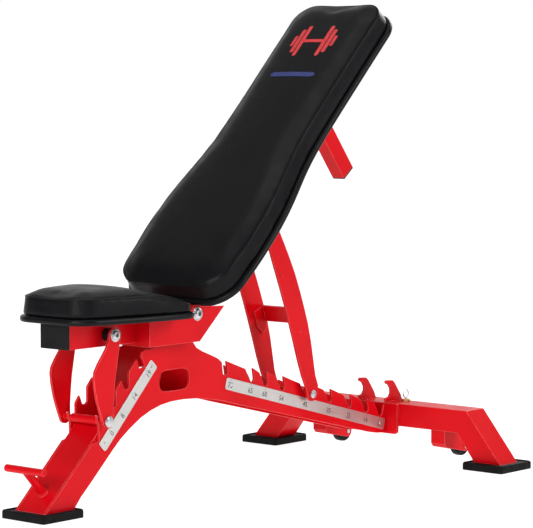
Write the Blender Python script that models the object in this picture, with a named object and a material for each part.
"""Adjustable weight bench: a red plate frame with a hinged seat and a hinged back.

Lengths are in millimetres until a mesh is made, and in metres in the mesh.
+X runs from the front foot to the rear feet, +Y is the far side, +Z is up.
Side-view points are (x, z). Points of the backrest are (s, n): s runs up the back
from the main pivot and n stands out of it, towards the person lying on it.
"""
import math

import bmesh
import bpy
from mathutils import Matrix, Vector
from mathutils.geometry import tessellate_polygon

MM = 0.001
MID_X = 554.75          # half way along the bench, where the origin is
GAP = 0.3               # space left between two pieces that touch
TURN = 0.15             # extra radius of a hole that a round piece sits in
ROUND = 24              # sides of a round piece

# Main pivot and the two hinged frames
PIVOT = (367.0, 377.0)
BACK_ANGLE = 45.0
PLATE = 5.0             # thickness of every flat steel plate
PLATE_IN = 37.5         # inner face of each side plate
PLATE_OUT = PLATE_IN + PLATE
TUBE_HALF = 37.5        # half width of the seat tube and the back tube
TUBE_DEEP = 50.0
WALL = 3.0
BAR_R = 6.0             # round bars that drop into the notches
BAR_SLEEVE_R = 9.0      # the thicker middle of each bar, between the side plates
BAR_SLEEVE_HALF = PLATE_IN - 1.5

# Feet and rear beam
PAD_TOP = 14.0
LEG_FOOT = PAD_TOP + GAP
FRONT_PAD = (111.0, 119.0)
FRONT_PAD_X = 2.5       # middle of the front pad
REAR_PAD = (115.0, 106.0)
REAR_PAD_X = 1071.6
REAR_PAD_Y = 320.0
BEAM_X = (1037.8, 1102.5)
BEAM_Z = (75.3, 125.6)
BEAM_CORNER_Y = (260.8, 236.7)
BEAM_FOOT_Y = (353.0, 283.0)
WHEEL_Y = 170.0
WHEEL_AT = (1138.0, 32.0)
WHEEL_R = 24.5
BRACKET_FRONT = 1057.0
PIN_X = 1086.0
PIN_Y = -58.0

# Front leg line, the face that looks forward
LEG_LOW = (-32.0, LEG_FOOT)
LEG_HIGH = (138.4, 176.6)
LEG_DEEP = 50.0
HANDLE_SHARE = 0.21     # how far up the leg the lift handle's stem starts
HANDLE_LONG = 69.0
GRIP_HALF = 53.0

# Seat linkage
SEAT_ARM_TOP = (143.0, 350.0)
SEAT_BAR = (123.0, 181.0)
SEAT_TILTS = (0.0, 7.5, 14.0, 19.0)
SEAT_NOTCH_SLOPE = 0.87
SEAT_ARM_Y = (57.5, 62.5)

# Back linkage
BACK_ARM_S = 302.0
BACK_ARM_N = -40.0
BACK_ARM_LONG = 414.0
BACK_TILTS = (75.0, 65.0, 60.0, 54.0, 45.0, 35.0, 25.0, 14.0, 0.0)
BACK_NOTCH_FIRST = (499.5, 242.0)
BACK_NOTCH_SLOPE = -0.2673
BACK_ARM_Y = (55.0, 60.0)

# Cushions: board bottom, board top, seam and crown, measured up from the pivot plane
BOARD_LOW = 0.4
BOARD_TOP = 13.0
SEAM = 54.0
CROWN = 69.0
LIP = 5.0               # how far the board stands out past the cushion

# Pad outlines as (position along the pad, half width)
SEAT_PAD = [(13.0, 93.0), (90.0, 113.0), (170.0, 131.0), (230.0, 140.0), (275.0, 143.5),
            (310.0, 143.0)]
SEAT_PAD_CORNER = 42.0
SEAT_THIN_FROM = 165.0  # behind here the seat cushion thins towards the main pivot
SEAT_THIN_END = 0.36    # share of its thickness left at its rear end
BACK_PAD = [(19.0, 148.0), (60.0, 154.0), (110.0, 158.5), (160.0, 161.0), (215.0, 161.0),
            (265.0, 157.5), (310.0, 151.5), (350.0, 144.0), (390.0, 136.5), (430.0, 131.5),
            (480.0, 128.5), (560.0, 127.5), (640.0, 128.0), (720.0, 128.5), (800.0, 129.5),
            (858.0, 130.0)]
BACK_PAD_CORNER = 62.0

# Round hardware: radii, and how far heads and nuts stand out
MAIN_BOLT_R = 8.0
MAIN_HEAD_R = 11.0
MAIN_HEAD_TALL = 7.0
ARM_BOLT_R = 6.0
ARM_HEAD_R = 10.0
ARM_HEAD_TALL = 5.5
NUT_TALL = 7.0
SEAT_BAR_NUT_R = 11.5
BACK_BAR_NUT_R = 9.0
BAR_NUT_TALL = 6.0
SPACER_R = 13.0
BOSS_R = 16.0
CHEEK_R = 15.0         # the yoke cheeks stay below the lower end of the back pad

# Seat yoke: two cheeks outside the side plates, joined by a web behind the seat tube
YOKE_IN = 72.0
YOKE_OUT = YOKE_IN + PLATE
YOKE_LOW = 320.0
SEAT_TUBE_X = (42.0, 225.7)

# Backrest tube and its carrying post
BACK_TUBE_S = (44.0, 720.0)
POST_S = 605.0
POST_LEAN = math.radians(6.5)
POST_HALF = (19.5, 16.0)    # half depth along the back, half width
POST_LONG = 159.0

# Colour, roughness and metallic value of each finish
FINISHES = {
    "red_paint": ((0.78, 0.02, 0.03, 1.0), 0.35, 0.0),
    "black_vinyl": ((0.02, 0.02, 0.022, 1.0), 0.45, 0.0),
    "black_rubber": ((0.012, 0.012, 0.012, 1.0), 0.80, 0.0),
    "black_plastic": ((0.025, 0.025, 0.025, 1.0), 0.50, 0.0),
    "strip_metal": ((0.62, 0.62, 0.60, 1.0), 0.38, 1.0),
    "zinc": ((0.55, 0.55, 0.55, 1.0), 0.32, 1.0),
    "brass": ((0.70, 0.50, 0.22, 1.0), 0.30, 1.0),
}


def clear_scene():
    for item in list(bpy.data.objects):
        bpy.data.objects.remove(item, do_unlink=True)


def material(name):
    made = bpy.data.materials.get(name)
    if made is None:
        colour, roughness, metallic = FINISHES[name]
        made = bpy.data.materials.new(name)
        made.use_nodes = True
        shader = made.node_tree.nodes["Principled BSDF"]
        shader.inputs["Base Color"].default_value = colour
        shader.inputs["Roughness"].default_value = roughness
        shader.inputs["Metallic"].default_value = metallic
    return made


def side_view(a, b, c):
    """a is x, b is z, c is y."""
    return (a, c, b)


def front_view(a, b, c):
    """a is y, b is z, c is x."""
    return (c, a, b)


def back_view(a, b, c):
    """a is s up the back, b is n out of it, c is y, at the stored back angle."""
    x, z = on_back(a, b, BACK_ANGLE)
    return (x, c, z)


def on_back(s, n, angle):
    turn = math.radians(angle)
    x = PIVOT[0] + s * math.cos(turn) - n * math.sin(turn)
    z = PIVOT[1] + s * math.sin(turn) + n * math.cos(turn)
    return (x, z)


def on_seat(point, angle):
    """Where a seat point goes when the front of the seat is raised by angle."""
    turn = math.radians(angle)
    dx = point[0] - PIVOT[0]
    dz = point[1] - PIVOT[1]
    x = PIVOT[0] + dx * math.cos(turn) + dz * math.sin(turn)
    z = PIVOT[1] - dx * math.sin(turn) + dz * math.cos(turn)
    return (x, z)


def finish_mesh(name, slot, mesh_data, smooth_angle=None):
    """Turn a bmesh in millimetres into an object in metres, centred on MID_X."""
    bmesh.ops.remove_doubles(mesh_data, verts=mesh_data.verts, dist=0.0001)
    bmesh.ops.recalc_face_normals(mesh_data, faces=mesh_data.faces)
    for vert in mesh_data.verts:
        vert.co = (vert.co - Vector((MID_X, 0.0, 0.0))) * MM
    mesh = bpy.data.meshes.new(name)
    mesh_data.to_mesh(mesh)
    mesh_data.free()
    mesh.materials.append(material(slot))
    made = bpy.data.objects.new(name, mesh)
    bpy.context.scene.collection.objects.link(made)
    if smooth_angle is not None:
        smooth_by_angle(made, smooth_angle)
    return made


def smooth_by_angle(made, degrees):
    mesh = made.data
    mesh.shade_smooth()
    limit = math.radians(degrees)
    edit = bmesh.new()
    edit.from_mesh(mesh)
    for edge in edit.edges:
        edge.smooth = len(edge.link_faces) == 2 and edge.calc_face_angle() < limit
    edit.to_mesh(mesh)
    edit.free()


def prism(name, slot, outline, low, high, holes=(), view=side_view, smooth_angle=30):
    """A flat outline with holes, thickened from low to high across the view."""
    edit = bmesh.new()
    loops = [list(outline)] + [list(hole) for hole in holes]
    flat = [[Vector((a, b, 0.0)) for a, b in loop] for loop in loops]
    points = [point for loop in flat for point in loop]
    bottom = [edit.verts.new(view(p.x, p.y, low)) for p in points]
    top = [edit.verts.new(view(p.x, p.y, high)) for p in points]
    for i, j, k in tessellate_polygon(flat):
        edit.faces.new((bottom[i], bottom[j], bottom[k]))
        edit.faces.new((top[k], top[j], top[i]))
    start = 0
    for loop in loops:
        count = len(loop)
        for step in range(count):
            i = start + step
            j = start + (step + 1) % count
            edit.faces.new((bottom[i], bottom[j], top[j], top[i]))
        start += count
    return finish_mesh(name, slot, edit, smooth_angle)


def hollow_sweep(name, slot, stations, low, high, wall, view):
    """A rectangular tube through mitred stations, each an (outer, inner) point pair."""
    edit = bmesh.new()
    rings = []
    for outer, inner in stations:
        outer = Vector(outer)
        inner = Vector(inner)
        share = wall / TUBE_DEEP
        shell = [(outer, low), (outer, high), (inner, high), (inner, low)]
        near_outer = outer.lerp(inner, share)
        near_inner = inner.lerp(outer, share)
        core = [(near_outer, low + wall), (near_outer, high - wall),
                (near_inner, high - wall), (near_inner, low + wall)]
        rings.append([[edit.verts.new(view(p.x, p.y, c)) for p, c in ring]
                      for ring in (shell, core)])
    for first, second in zip(rings, rings[1:]):
        for layer in (0, 1):
            for i in range(4):
                j = (i + 1) % 4
                edit.faces.new((first[layer][i], first[layer][j],
                                second[layer][j], second[layer][i]))
    for end in (rings[0], rings[-1]):
        for i in range(4):
            j = (i + 1) % 4
            edit.faces.new((end[0][i], end[0][j], end[1][j], end[1][i]))
    return finish_mesh(name, slot, edit, 30)


def circle(centre, radius, count=ROUND, start=0.0, end=360.0):
    """Points round a circle, or along an arc when end is not a full turn from start."""
    whole = abs(end - start) >= 360.0
    steps = count if whole else count + 1
    out = []
    for step in range(steps):
        turn = math.radians(start + (end - start) * step / count)
        out.append((centre[0] + radius * math.cos(turn), centre[1] + radius * math.sin(turn)))
    return out


def lathe(name, slot, profile, centre, view, count=ROUND):
    """A round piece about an axis across the view; profile holds (radius, position)."""
    edit = bmesh.new()
    rings = []
    for radius, along in profile:
        if radius == 0.0:
            rings.append([edit.verts.new(view(centre[0], centre[1], along))])
        else:
            rings.append([edit.verts.new(view(a, b, along))
                          for a, b in circle(centre, radius, count)])
    closed = profile[0][0] > 0.0
    pairs = list(zip(rings, rings[1:]))
    if closed:
        pairs.append((rings[-1], rings[0]))
    for first, second in pairs:
        for i in range(count):
            j = (i + 1) % count
            corners = [first[i % len(first)], first[j % len(first)],
                       second[j % len(second)], second[i % len(second)]]
            unique = list(dict.fromkeys(corners))
            if len(unique) > 2:
                edit.faces.new(unique)
    return finish_mesh(name, slot, edit, 35)


def top_view(a, b, c):
    """a is x, b is y, c is z."""
    return (a, b, c)


def bolt(name, slot, centre, shaft_r, shaft_from, head_r, head_from, head_to, view=side_view):
    """A shaft from shaft_from to the domed head that runs from head_from to head_to."""
    dome = (head_to - head_from)
    profile = [(0.0, shaft_from), (shaft_r, shaft_from), (shaft_r, head_from), (head_r, head_from),
               (head_r, head_from + dome * 0.4), (head_r * 0.75, head_from + dome * 0.8),
               (0.0, head_to)]
    return lathe(name, slot, profile, centre, view)


def nut(name, slot, centre, radius, face, end, view=side_view):
    dome = end - face
    profile = [(0.0, face), (radius, face), (radius, face + dome * 0.5),
               (radius * 0.7, face + dome * 0.85), (0.0, end)]
    return lathe(name, slot, profile, centre, view, 18)


def sleeve(name, slot, centre, inner_r, outer_r, low, high, view=side_view):
    return prism(name, slot, circle(centre, outer_r), low, high,
                 [circle(centre, inner_r)], view, 35)


def combine(name, slot, parts, operation="UNION"):
    """Boolean the later parts into the first and give it a name and one material."""
    base = parts[0]
    for other in parts[1:]:
        other.hide_render = True
        other.display_type = "WIRE"
        step = base.modifiers.new("step", "BOOLEAN")
        step.operation = operation
        step.solver = "EXACT"
        step.object = other
        evaluated = base.evaluated_get(bpy.context.evaluated_depsgraph_get())
        mesh = bpy.data.meshes.new_from_object(evaluated)
        base.modifiers.clear()
        base.data = mesh
        bpy.data.objects.remove(other, do_unlink=True)
    base.name = name
    base.data.name = name
    base.data.materials.clear()
    base.data.materials.append(material(slot))
    smooth_by_angle(base, 30)
    return base


def drill(base, centre, radius, low, high, view=side_view):
    """Cut a round hole through a finished piece."""
    slot = base.data.materials[0].name
    cutter = prism("cutter", slot, circle(centre, radius), low, high, (), view)
    return combine(base.name, slot, [base, cutter], "DIFFERENCE")


def rounded(corners, radii, count=5):
    """Round the corners of an outline; a radius of 0 keeps its corner sharp."""
    out = []
    total = len(corners)
    for index in range(total):
        here = Vector(corners[index])
        before = (Vector(corners[index - 1]) - here)
        after = (Vector(corners[(index + 1) % total]) - here)
        radius = radii[index]
        if radius == 0.0:
            out.append((here.x, here.y))
            continue
        half = before.angle(after) / 2.0
        reach = min(radius / math.tan(half), before.length * 0.49, after.length * 0.49)
        first = here + before.normalized() * reach
        last = here + after.normalized() * reach
        for step in range(count + 1):
            t = step / count
            point = first.lerp(here, t).lerp(here.lerp(last, t), t)
            out.append((point.x, point.y))
    return out


def line_notch(top, length, first, slope, side):
    """A point of a notch line at a given distance from top; side picks which of the two."""
    run = Vector((1.0, slope)).normalized()
    off = Vector(first) - Vector(top)
    along = -off.dot(run)
    across = (off + run * along).length
    reach = along + side * math.sqrt(length * length - across * across)
    point = Vector(first) + run * reach
    return (point.x, point.y)


def seat_notches():
    long = (Vector(SEAT_ARM_TOP) - Vector(SEAT_BAR)).length
    out = []
    for tilt in SEAT_TILTS:
        top = on_seat(SEAT_ARM_TOP, tilt)
        out.append(line_notch(top, long, SEAT_BAR, SEAT_NOTCH_SLOPE, -1.0))
    return out


def back_notches():
    out = []
    for tilt in BACK_TILTS:
        top = on_back(BACK_ARM_S, BACK_ARM_N, tilt)
        out.append(line_notch(top, BACK_ARM_LONG, BACK_NOTCH_FIRST, BACK_NOTCH_SLOPE, 1.0))
    return out


def front_teeth():
    """Saw teeth of the front ladder, from the lowest tooth up to the hub."""
    out = [(LEG_HIGH[0] - 21.0, 140.5), (LEG_HIGH[0] - 22.0, 172.0)]
    for x, z in seat_notches():
        out += [(x - 13.0, z + 13.0), (x - 5.5, z - 5.0), (x, z - BAR_R - GAP),
                (x + 5.5, z - 5.0), (x + 9.5, z - 1.0), (x + 9.5, z + 28.0)]
    out.pop()
    return out


def rear_teeth():
    """Saw teeth of the rear ladder, from the hub to the rear beam."""
    out = []
    ramp = Vector((-0.5, 0.866))
    notches = back_notches()
    for index, (x, z) in enumerate(notches):
        floor = (x, z + BAR_R + 1.5 - 7.5 - GAP + 1.0)
        if index > 0:
            foot = Vector((x - 7.5, z + 1.0))
            top = foot + ramp * 26.0
            out.append((top.x, top.y))
        out += circle((x, floor[1]), 7.5, 6, 180.0, 360.0)
        if index < len(notches) - 1:
            out.append((x + 3.5, z + 23.0))
    return out


def side_plate(name, low, high):
    lower_edge = [(46.0, LEG_FOOT), (66.0, 37.0), (94.0, 62.0), (125.0, 91.0), (155.0, 119.0),
                  (178.0, 139.0), (206.0, 158.0), (236.0, 175.0), (265.0, 187.0), (295.0, 195.0),
                  (325.0, 199.0), (362.0, 200.0), (400.0, 198.0), (446.0, 192.0), (490.0, 183.0),
                  (533.0, 172.0), (973.0, 66.0), (1000.0, 61.0), (1031.2, 59.0)]
    hub_front = [(238.0, 300.0), (240.0, 307.0), (246.0, 311.0), (268.0, 311.0), (343.0, 368.0)]
    hub_top = circle(PIVOT, BOSS_R, 8, 160.0, -5.0)
    hub_rear = [(386.0, 345.0), (391.0, 316.0), (402.0, 303.0), (420.0, 294.0), (446.0, 284.0),
                (468.0, 275.0), (480.0, 266.0)]
    tail = [(1025.0, 122.0), (1031.2, 122.0)]
    outline = [LEG_LOW, (97.0, 138.0)] + front_teeth() + hub_front + hub_top + hub_rear
    outline += rear_teeth() + tail + lower_edge[::-1]
    window = rounded([(290.0, 221.0), (380.0, 221.0), (380.0, 264.0), (290.0, 264.0)],
                     [21.0] * 4, 6)
    bore = circle(PIVOT, MAIN_BOLT_R + TURN)
    return prism(name, "red_paint", outline, low, high, [window, bore])


def pad_outline(x, y, size):
    """A rubber foot's rectangle with rounded corners, seen from above."""
    half_x = size[0] / 2
    half_y = size[1] / 2
    corners = [(x - half_x, y - half_y), (x + half_x, y - half_y), (x + half_x, y + half_y),
               (x - half_x, y + half_y)]
    return rounded(corners, [6.0] * 4, 3)


def build_front_leg():
    run = (Vector(LEG_HIGH) - Vector(LEG_LOW)).normalized()
    inward = Vector((run.y, -run.x))
    high_in = Vector(LEG_HIGH) + inward * (LEG_DEEP - GAP)
    low_in = Vector(LEG_LOW) + Vector(((LEG_DEEP - GAP) / run.y, 0.0))
    half = PLATE_IN - GAP
    hollow_sweep("front_leg_tube", "red_paint", [(LEG_LOW, low_in), (LEG_HIGH, high_in)],
                 -half, half, WALL, side_view)
    prism("front_foot_pad", "black_rubber",
          pad_outline(FRONT_PAD_X, 0.0, FRONT_PAD), 0.0, PAD_TOP, (), top_view)
    outward = -inward
    root = Vector(LEG_LOW).lerp(Vector(LEG_HIGH), HANDLE_SHARE)
    end = root + outward * HANDLE_LONG

    def along_stem(a, b, c):
        point = root + run * a + outward * c
        return (point.x, b, point.y)

    stem = lathe("stem", "red_paint", [(0.0, GAP), (11.5, GAP), (9.0, 5.0), (8.0, HANDLE_LONG), (0.0, HANDLE_LONG)],
                 (0.0, 0.0), along_stem, 18)
    grip = lathe("grip", "red_paint",
                 [(0.0, -GRIP_HALF), (6.0, -GRIP_HALF), (7.5, -GRIP_HALF + 1.5), (7.5, GRIP_HALF - 1.5),
                  (6.0, GRIP_HALF), (0.0, GRIP_HALF)], (end.x, end.y), side_view, 18)
    combine("lift_handle", "red_paint", [grip, stem])


def build_frame():
    side_plate("side_plate_near", -PLATE_OUT, -PLATE_IN)
    side_plate("side_plate_far", PLATE_IN, PLATE_OUT)
    build_front_leg()
    half = PLATE_IN - GAP
    web_low = [(176.0, 145.0), (206.0, 166.0), (236.0, 182.0), (265.0, 193.0), (295.0, 201.0),
               (325.0, 205.0), (362.0, 206.0), (400.0, 204.0), (446.0, 198.0), (488.0, 190.0)]
    web_high = [(x, z + PLATE) for x, z in reversed(web_low)]
    prism("hub_web", "red_paint", web_low + web_high, -half, half)
    hollow_sweep("rail_tube", "red_paint",
                 [((500.0, 213.0), (500.0, 186.0)), ((1031.2, 89.0), (1031.2, 62.0))],
                 -half, half, WALL, side_view)
    for side, sign in (("near", -1.0), ("far", 1.0)):
        low, high = sorted((sign * (PLATE_OUT + GAP), sign * (YOKE_IN - GAP)))
        sleeve("hub_boss_" + side, "red_paint", PIVOT, MAIN_BOLT_R + TURN, BOSS_R, low, high)
    face = YOKE_OUT + GAP
    bolt("main_pivot_bolt", "zinc", PIVOT, MAIN_BOLT_R, YOKE_OUT, MAIN_HEAD_R,
         -face, -face - MAIN_HEAD_TALL)
    nut("main_pivot_nut", "zinc", PIVOT, MAIN_HEAD_R, face, face + MAIN_HEAD_TALL)


def build_rear():
    stations = [((-BEAM_FOOT_Y[0], LEG_FOOT), (-BEAM_FOOT_Y[1], LEG_FOOT)),
                ((-BEAM_CORNER_Y[0], BEAM_Z[1]), (-BEAM_CORNER_Y[1], BEAM_Z[0])),
                ((BEAM_CORNER_Y[0], BEAM_Z[1]), (BEAM_CORNER_Y[1], BEAM_Z[0])),
                ((BEAM_FOOT_Y[0], LEG_FOOT), (BEAM_FOOT_Y[1], LEG_FOOT))]
    beam = hollow_sweep("rear_cross_beam", "red_paint", stations, BEAM_X[0], BEAM_X[1], WALL,
                        front_view)
    drill(beam, (PIN_X, PIN_Y), 3.2, BEAM_Z[1] - 10.0, BEAM_Z[1] + 10.0, top_view)
    flange = rounded([(-75.0, 57.0), (75.0, 57.0), (75.0, BEAM_Z[1]), (-75.0, BEAM_Z[1])],
                     [9.0, 9.0, 2.0, 2.0], 4)
    prism("rear_flange_plate", "red_paint", flange, 1031.5, 1037.5, (), front_view)
    base = BEAM_Z[1] + GAP
    hook = [(1034.0, base), (1096.0, base), (1090.0, 139.0), (1068.0, 168.0), (1060.0, 174.0),
            (1038.0, 175.5), (1033.5, 172.0), (1036.0, 168.5), (1046.0, 164.0), (1052.0, 156.0),
            (1052.5, 146.0), (1047.0, 138.0), (1034.0, 135.0)]
    for side, sign in (("near", -1.0), ("far", 1.0)):
        low, high = sorted((sign * 35.5, sign * 40.5))
        prism("rear_hook_" + side, "red_paint", hook, low, high)
        prism("rear_foot_pad_" + side, "black_rubber",
              pad_outline(REAR_PAD_X, sign * REAR_PAD_Y, REAR_PAD), 0.0, PAD_TOP, (), top_view)
        build_wheel(side, sign)


def build_wheel(side, sign):
    centre = sign * WHEEL_Y
    top = BEAM_Z[0] - GAP
    front = BRACKET_FRONT
    cheek = [(front, top), (front, 43.0), (front + 7.0, 34.5), (1126.5, 21.0)]
    cheek += circle(WHEEL_AT, 13.0, 8, 235.0, 420.0)
    cheek += [(1101.0, top)]
    axle_hole = circle(WHEEL_AT, 5.0 + TURN)
    parts = []
    for low, high in ((centre - 19.0, centre - 16.0), (centre + 16.0, centre + 19.0)):
        parts.append(prism("cheek", "red_paint", cheek, low, high, [axle_hole]))
    skin = [(front, top), (front, 43.0), (front + 7.0, 34.5), (1104.0, 25.8), (1104.0, 29.1),
            (front + 8.5, 37.6), (front + 3.2, 45.0), (front + 3.2, top)]
    parts.append(prism("skin", "red_paint", skin, centre - 18.0, centre + 18.0))
    combine("wheel_bracket_" + side, "red_paint", parts)
    tyre = [(5.0 + TURN, centre - 12.0), (9.0, centre - 12.0), (17.0, centre - 10.0),
            (21.5, centre - 11.0), (24.0, centre - 8.0), (WHEEL_R, centre), (24.0, centre + 8.0),
            (21.5, centre + 11.0), (17.0, centre + 10.0), (9.0, centre + 12.0),
            (5.0 + TURN, centre + 12.0)]
    lathe("wheel_" + side, "black_plastic", tyre, WHEEL_AT, side_view, 32)
    outer = centre + sign * 19.3
    bolt("wheel_axle_" + side, "zinc", WHEEL_AT, 5.0, centre - sign * 21.0, 8.5,
         outer, outer + sign * 5.0)


def build_pull_pin():
    base = BEAM_Z[1] + GAP
    hex_side = circle((PIN_X, PIN_Y), 9.5, 6)
    prism("pull_pin_housing", "brass", hex_side, base, base + 5.0,
          [circle((PIN_X, PIN_Y), 3.0 + TURN, 18)], top_view)
    stem = lathe("stem", "zinc", [(0.0, base - 8.0), (2.2, base - 8.0), (3.0, base - 6.0),
                                  (3.0, base + 9.0), (0.0, base + 9.0)],
                 (PIN_X, PIN_Y), top_view, 18)
    edit = bmesh.new()
    ring = bmesh.ops.create_circle(edit, segments=8, radius=1.5,
                                   matrix=Matrix.Translation((9.0, 0.0, 0.0)))
    edges = [edge for edge in edit.edges]
    bmesh.ops.rotate(edit, verts=ring["verts"], matrix=Matrix.Rotation(math.pi / 2, 3, "X"))
    bmesh.ops.spin(edit, geom=ring["verts"] + edges, axis=(0.0, 0.0, 1.0), cent=(0.0, 0.0, 0.0),
                   dvec=(0.0, 0.0, 0.0), angle=math.tau, steps=20, use_merge=True)
    spin_to = Matrix.Translation((PIN_X, PIN_Y, base + 17.0)) @ Matrix.Rotation(math.pi / 2, 4, "X")
    bmesh.ops.transform(edit, matrix=spin_to, verts=edit.verts)
    loop = finish_mesh("loop", "zinc", edit, 60)
    combine("pull_pin", "zinc", [stem, loop])


def strip(name, start, end, width, rivets):
    """A thin metal strip with raised rivets on the near side plate."""
    a = Vector(start)
    b = Vector(end)
    run = (b - a).normalized()
    across = Vector((-run.y, run.x)) * (width / 2)
    corners = [a - across, b - across, b + across, a + across]
    outline = rounded([(c.x, c.y) for c in corners], [6.0] * 4, 4)
    face = -PLATE_OUT - GAP
    parts = [prism(name, "strip_metal", outline, face - 1.5, face)]
    for share in rivets:
        at = a.lerp(b, share)
        parts.append(lathe("rivet", "strip_metal",
                           [(0.0, face - 0.7), (3.5, face - 0.7), (3.5, face - 2.0),
                            (2.2, face - 3.0), (0.0, face - 3.3)], (at.x, at.y), side_view, 12))
    combine(name, "strip_metal", parts)


def build_strips():
    strip("front_angle_strip", (274.0, 282.0), (123.0, 127.0), 25.0, (0.05, 0.95))
    strip("rear_angle_strip", (491.0, 221.0), (1025.0, 78.6), 25.0, (0.03, 0.97))


def cushion_outline(points, corner, count=6):
    """A closed outline from (position, half width) pairs, mirrored, with rounded ends."""
    one = [(s, w) for s, w in points]
    other = [(s, -w) for s, w in reversed(points)]
    corners = one + other
    total = len(corners)
    radii = [0.0] * total
    for index in (0, len(one) - 1, len(one), total - 1):
        radii[index] = corner
    return rounded(corners, radii, count)


def pad_solid(name, slot, outline, rings, place):
    """Stacked scaled copies of an outline; rings holds (inset, height) pairs."""
    edit = bmesh.new()
    low_s = min(s for s, w in outline)
    high_s = max(s for s, w in outline)
    half_w = max(w for s, w in outline)
    mid = (low_s + high_s) / 2
    half_s = (high_s - low_s) / 2
    layers = []
    for inset, height in rings:
        scale_s = 1.0 - inset / half_s
        scale_w = 1.0 - inset / half_w
        layers.append([edit.verts.new(place(mid + (s - mid) * scale_s, w * scale_w, height))
                       for s, w in outline])
    count = len(outline)
    for first, second in zip(layers, layers[1:]):
        for i in range(count):
            j = (i + 1) % count
            edit.faces.new((first[i], first[j], second[j], second[i]))
    edit.faces.new(layers[0][::-1])
    edit.faces.new(layers[-1])
    bmesh.ops.triangulate(edit, faces=[f for f in edit.faces if len(f.verts) > 4])
    return finish_mesh(name, slot, edit, 40)


BOARD_RINGS = ((3.0, BOARD_LOW), (0.0, BOARD_LOW + 3.0), (0.0, BOARD_TOP - 3.0), (2.5, BOARD_TOP))
SOFT_RINGS = ((LIP + 1.0, BOARD_TOP + GAP), (LIP, BOARD_TOP + 6.0), (LIP, SEAM - 6.0),
              (LIP + 2.0, SEAM), (LIP + 12.0, SEAM + 5.5), (LIP + 30.0, SEAM + 10.0),
              (LIP + 60.0, CROWN - 1.5), (LIP + 95.0, CROWN))


def seat_thickness(s):
    """Share of the full cushion thickness at this place along the seat."""
    share = min(max((s - SEAT_THIN_FROM) / (SEAT_PAD[-1][0] - SEAT_THIN_FROM), 0.0), 1.0)
    return 1.0 - (1.0 - SEAT_THIN_END) * share


def build_seat():
    outline = cushion_outline(SEAT_PAD, SEAT_PAD_CORNER)

    def place(s, w, height):
        if height > BOARD_TOP:
            height = BOARD_TOP + (height - BOARD_TOP) * seat_thickness(s)
        return (s, w, PIVOT[1] + height)

    pad_solid("seat_board", "black_vinyl", outline, BOARD_RINGS, place)
    pad_solid("seat_cushion", "black_vinyl", outline, SOFT_RINGS, place)
    top = PIVOT[1]
    low = top - TUBE_DEEP
    front, back = SEAT_TUBE_X
    shell = [(-TUBE_HALF, low), (TUBE_HALF, low), (TUBE_HALF, top), (-TUBE_HALF, top)]
    inner = [(-TUBE_HALF + WALL, low + WALL), (TUBE_HALF - WALL, low + WALL),
             (TUBE_HALF - WALL, top - WALL), (-TUBE_HALF + WALL, top - WALL)]
    tube = prism("seat_tube", "red_paint", shell, front, back, [inner], front_view)
    drill(tube, SEAT_ARM_TOP, ARM_BOLT_R + TURN, -60.0, 60.0)
    half = TUBE_HALF
    cap = prism("seat_tube_cap", "black_plastic",
                [(-half, low), (half, low), (half, top), (-half, top)],
                36.0, front - GAP, (), front_view)
    plug = prism("plug", "black_plastic",
                 [(-half + 4, low + 4), (half - 4, low + 4), (half - 4, top - 4), (-half + 4, top - 4)],
                 40.0, front + 14.0, (), front_view)
    combine("seat_tube_cap", "black_plastic", [cap, plug])
    web_front = back + GAP
    web = prism("web", "red_paint", [(-YOKE_OUT, YOKE_LOW), (YOKE_OUT, YOKE_LOW), (YOKE_OUT, top),
                                     (-YOKE_OUT, top)], web_front, web_front + PLATE, (), front_view)
    cheek_front = web_front + 0.5
    cheek_low = YOKE_LOW + 0.2
    cheek_high = top - 0.2
    cheek = [(cheek_front, cheek_low), (374.0, cheek_low), (449.0, 388.0)]
    cheek += circle(PIVOT, CHEEK_R, 6, 80.0, 130.0)
    cheek += [(330.0, cheek_high), (cheek_front, cheek_high)]
    parts = [web]
    for low_y, high_y in ((-YOKE_OUT, -YOKE_IN), (YOKE_IN, YOKE_OUT)):
        parts.append(prism("cheek", "red_paint", cheek, low_y, high_y,
                           [circle(PIVOT, MAIN_BOLT_R + TURN)]))
    combine("seat_yoke", "red_paint", parts)
    outer = SEAT_ARM_Y[1] + GAP
    bolt("seat_arm_pivot_bolt", "zinc", SEAT_ARM_TOP, ARM_BOLT_R, outer - GAP, ARM_HEAD_R,
         -outer, -outer - ARM_HEAD_TALL)
    nut("seat_arm_pivot_nut", "zinc", SEAT_ARM_TOP, ARM_HEAD_R, outer, outer + NUT_TALL)
    for side, sign in (("near", -1.0), ("far", 1.0)):
        low_y, high_y = sorted((sign * (TUBE_HALF + GAP), sign * (SEAT_ARM_Y[0] - GAP)))
        sleeve("seat_arm_spacer_" + side, "black_plastic", SEAT_ARM_TOP, ARM_BOLT_R + TURN, SPACER_R,
               low_y, high_y)


def arm_outline(front, rear, top, top_r, low, low_r):
    """A bowed arm: round ends about top and low, with shaped front and rear edges."""
    out = circle(top, top_r, 8, 0.0, 180.0)
    out += front
    out += circle(low, low_r, 8, 190.0, 350.0)
    out += rear
    return out


def lock_bar(name, centre, half):
    """A bar that lies in the notches, thicker where it is between the side plates."""
    middle = BAR_SLEEVE_HALF
    lathe(name, "red_paint", [(0.0, -half), (BAR_R, -half), (BAR_R, -middle), (BAR_SLEEVE_R, -middle),
                              (BAR_SLEEVE_R, middle), (BAR_R, middle), (BAR_R, half), (0.0, half)],
          centre, side_view)


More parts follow.
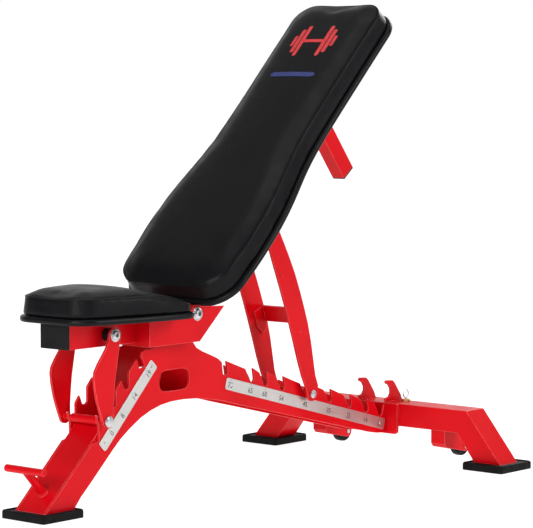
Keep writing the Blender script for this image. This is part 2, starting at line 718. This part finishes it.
def build_seat_arms():
    front = [(124.0, 338.0), (118.0, 326.0), (107.0, 312.0), (95.0, 297.0), (86.0, 283.0),
             (83.5, 272.0), (86.0, 250.0), (92.0, 224.0), (101.0, 198.0)]
    rear = [(136.5, 205.0), (139.0, 235.0), (142.0, 262.0), (146.0, 283.0), (151.0, 310.0)]
    outline = arm_outline(front, rear, SEAT_ARM_TOP, 16.0, SEAT_BAR, 14.0)
    for side, sign in (("near", -1.0), ("far", 1.0)):
        low, high = sorted((sign * SEAT_ARM_Y[0], sign * SEAT_ARM_Y[1]))
        prism("seat_arm_" + side, "red_paint", outline, low, high,
              [circle(SEAT_ARM_TOP, ARM_BOLT_R + TURN), circle(SEAT_BAR, BAR_R + TURN)])
        face = sign * (SEAT_ARM_Y[1] + GAP)
        nut("seat_lock_bar_nut_" + side, "zinc", SEAT_BAR, SEAT_BAR_NUT_R, face,
            face + sign * BAR_NUT_TALL)
    lock_bar("seat_lock_bar", SEAT_BAR, SEAT_ARM_Y[1])


def build_back():
    outline = cushion_outline(BACK_PAD, BACK_PAD_CORNER)

    def place(s, w, height):
        return back_view(s, height, w)

    pad_solid("back_board", "black_vinyl", outline, BOARD_RINGS, place)
    pad_solid("back_cushion", "black_vinyl", outline, SOFT_RINGS, place)

    def back_section(a, b, c):
        return back_view(c, b, a)

    half = TUBE_HALF
    shell = [(-half, -TUBE_DEEP), (half, -TUBE_DEEP), (half, 0.0), (-half, 0.0)]
    inner = [(-half + WALL, -TUBE_DEEP + WALL), (half - WALL, -TUBE_DEEP + WALL),
             (half - WALL, -WALL), (-half + WALL, -WALL)]
    tube = prism("back_tube", "red_paint", shell, BACK_TUBE_S[0], BACK_TUBE_S[1], [inner],
                 back_section)
    drill(tube, (BACK_ARM_S, BACK_ARM_N), ARM_BOLT_R + TURN, -60.0, 60.0, back_view)
    ear = circle((0.0, 0.0), 17.0, 10, 75.0, 250.0) + [(50.0, -46.0), (105.0, -46.0), (105.0, -4.0),
                                                       (40.0, -4.0), (20.0, -2.5)]
    bore = circle((0.0, 0.0), MAIN_BOLT_R + TURN)
    parts = []
    for low, high in ((-34.0, -29.0), (29.0, 34.0)):
        parts.append(prism("ear", "red_paint", ear, low, high, [bore], back_view))
    parts.append(prism("sleeve", "red_paint", circle((0.0, 0.0), 14.0), -30.0, 30.0, [bore],
                       back_view))
    combine("back_hinge", "red_paint", parts)

    def post_point(along, out):
        """A point of the post: along the back from its middle line, and out of its root."""
        return (POST_S + along * math.cos(POST_LEAN) + out * math.sin(POST_LEAN),
                -TUBE_DEEP + out * math.cos(POST_LEAN) - along * math.sin(POST_LEAN))

    def post_view(a, b, c):
        s, n = post_point(a, c)
        return back_view(s, n, b)

    deep, wide = POST_HALF
    root = []
    for along in (-deep, deep):
        root.append(post_point(along, (along * math.sin(POST_LEAN) - GAP) / math.cos(POST_LEAN)))
    tip = [post_point(-deep, -POST_LONG), post_point(deep, -POST_LONG)]
    hollow_sweep("lift_post", "red_paint", [root, tip], -wide, wide, WALL, back_view)
    ring = [(-deep, -wide), (deep, -wide), (deep, wide), (-deep, wide)]
    cap = prism("cap", "black_plastic", ring, -POST_LONG - 3.0, -POST_LONG - GAP, (), post_view)
    plug = prism("plug", "black_plastic", [(a * 0.8, b * 0.78) for a, b in ring],
                 -POST_LONG - 1.5, -POST_LONG + 12.0, (), post_view)
    combine("lift_post_cap", "black_plastic", [cap, plug])
    top = on_back(BACK_ARM_S, BACK_ARM_N, BACK_ANGLE)
    outer = BACK_ARM_Y[1] + GAP
    bolt("back_arm_pivot_bolt", "zinc", top, ARM_BOLT_R, outer - GAP, ARM_HEAD_R,
         -outer, -outer - ARM_HEAD_TALL)
    nut("back_arm_pivot_nut", "zinc", top, ARM_HEAD_R, outer, outer + NUT_TALL)
    for side, sign in (("near", -1.0), ("far", 1.0)):
        low, high = sorted((sign * (TUBE_HALF + GAP), sign * (BACK_ARM_Y[0] - GAP)))
        sleeve("back_arm_spacer_" + side, "black_plastic", top, ARM_BOLT_R + TURN, SPACER_R,
               low, high)


def build_back_arms():
    top = on_back(BACK_ARM_S, BACK_ARM_N, BACK_ANGLE)
    low = back_notches()[BACK_TILTS.index(BACK_ANGLE)]
    front = [(598.0, 528.0), (612.0, 494.0), (628.0, 455.0), (645.0, 415.0), (661.0, 375.0),
             (676.0, 335.0), (691.0, 293.0), (705.0, 252.0), (719.0, 216.0), (733.0, 188.0)]
    rear = [(773.0, 190.0), (763.0, 215.0), (756.0, 250.0), (748.0, 290.0), (738.0, 328.0),
            (726.0, 362.0), (712.0, 398.0), (695.0, 438.0), (673.0, 480.0), (650.0, 520.0),
            (632.0, 549.0)]
    outline = circle(top, 17.0, 8, 35.0, 200.0) + front + circle(low, 16.0, 8, 190.0, 350.0) + rear
    for side, sign in (("near", -1.0), ("far", 1.0)):
        low_y, high_y = sorted((sign * BACK_ARM_Y[0], sign * BACK_ARM_Y[1]))
        prism("back_arm_" + side, "red_paint", outline, low_y, high_y,
              [circle(top, ARM_BOLT_R + TURN), circle(low, BAR_R + TURN)])
        face = sign * (BACK_ARM_Y[1] + GAP)
        nut("back_lock_bar_nut_" + side, "zinc", low, BACK_BAR_NUT_R, face,
            face + sign * BAR_NUT_TALL)
    lock_bar("back_lock_bar", low, BACK_ARM_Y[1])
    inside = BACK_ARM_Y[0] - GAP
    web = [(718.0, 361.0), (722.0, 362.3), (732.5, 328.0), (728.5, 326.8)]
    flange = [(690.0, 350.0), (719.0, 361.0), (734.0, 314.0), (718.0, 300.0), (700.0, 318.0)]
    parts = [prism("web", "red_paint", web, -inside + 0.5, inside - 0.5)]
    for low_y, high_y in ((-inside, -inside + 4.0), (inside - 4.0, inside)):
        parts.append(prism("flange", "red_paint", flange, low_y, high_y))
    combine("back_arm_brace", "red_paint", parts)


def centre_origin(made):
    """Puts an object's origin in the middle of its mesh, which stays where it is."""
    corners = [Vector(corner) for corner in made.bound_box]
    middle = sum(corners, Vector()) / len(corners)
    made.data.transform(Matrix.Translation(-middle))
    made.location = middle


def hang(name, point, members, across=0.0, parent=None):
    """Parents the members to an empty on a joint's axis at a side-view point."""
    axis = bpy.data.objects.new(name, None)
    bpy.context.scene.collection.objects.link(axis)
    place = Vector((point[0] - MID_X, across, point[1])) * MM
    axis.location = place
    if parent is not None:
        axis.parent = parent[0]
        axis.location = place - parent[1]
    for member in members:
        made = bpy.data.objects[member]
        made.parent = axis
        made.location -= place
    return (axis, place)


def sides(stem):
    return [stem + "_near", stem + "_far"]


def hang_moving_pieces():
    seat = hang("seat_axis", PIVOT, ["seat_tube", "seat_tube_cap", "seat_yoke", "seat_board",
                                     "seat_cushion", "seat_arm_pivot_bolt", "seat_arm_pivot_nut"]
                + sides("seat_arm_spacer"))
    hang("seat_arm_axis", SEAT_ARM_TOP, ["seat_lock_bar"] + sides("seat_arm")
         + sides("seat_lock_bar_nut"), parent=seat)
    back = hang("back_axis", PIVOT, ["back_tube", "back_hinge", "back_board", "back_cushion",
                                     "lift_post", "lift_post_cap", "back_arm_pivot_bolt",
                                     "back_arm_pivot_nut"] + sides("back_arm_spacer"))
    top = on_back(BACK_ARM_S, BACK_ARM_N, BACK_ANGLE)
    hang("back_arm_axis", top, ["back_arm_brace", "back_lock_bar"] + sides("back_arm")
         + sides("back_lock_bar_nut"), parent=back)
    hang("wheel_near_axis", WHEEL_AT, ["wheel_near"], -WHEEL_Y)
    hang("wheel_far_axis", WHEEL_AT, ["wheel_far"], WHEEL_Y)
    hang("pull_pin_axis", (PIN_X, BEAM_Z[1]), ["pull_pin"], PIN_Y)


def build():
    clear_scene()
    build_frame()
    build_rear()
    build_pull_pin()
    build_strips()
    build_seat()
    build_seat_arms()
    build_back()
    build_back_arms()
    for made in bpy.data.objects:
        centre_origin(made)
    hang_moving_pieces()


build()
